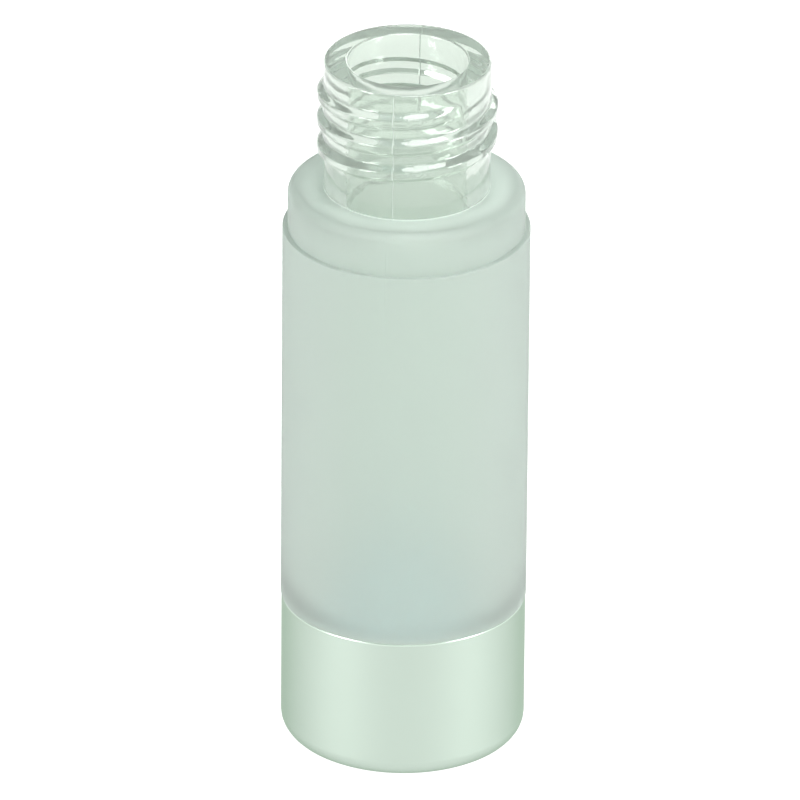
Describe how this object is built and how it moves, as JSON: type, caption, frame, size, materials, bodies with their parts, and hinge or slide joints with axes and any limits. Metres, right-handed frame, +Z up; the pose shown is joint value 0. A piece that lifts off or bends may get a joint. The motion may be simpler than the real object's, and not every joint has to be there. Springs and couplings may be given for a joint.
{
  "type": "airless pump bottle",
  "caption": "Frosted airless bottle with a clear threaded neck, a follower piston inside and a vented satin metal base. Its pump and overcap are separate.",
  "frame": {"origin": "centre of the face that the base stands on", "axes": "+Z up along the bottle's axis, towards the mouth; the thread starts at +X and the picture is taken from -Y"},
  "size_m": [0.033, 0.033, 0.0992],
  "materials": {
    "frosted_clear_plastic": "clear and polished on the neck, frosted from the shoulder down, pale mint tint",
    "piston_plastic": "smooth waxy moulded plastic, cool white",
    "insert_plastic": "plain moulded plastic, natural white",
    "satin_metal": "fine satin with a pale mint cast, bright cut top edge"
  },
  "bodies": {
    "bottle": {"bottle": "frosted_clear_plastic", "base_insert": "insert_plastic", "base_shell": "satin_metal"},
    "piston": {"piston": "piston_plastic"}
  },
  "joints": [
    {"name": "piston_rise", "type": "slide", "parent": "bottle", "child": "piston", "axis": [0, 0, 1], "range_m": [0, 0.058]}
  ]
}
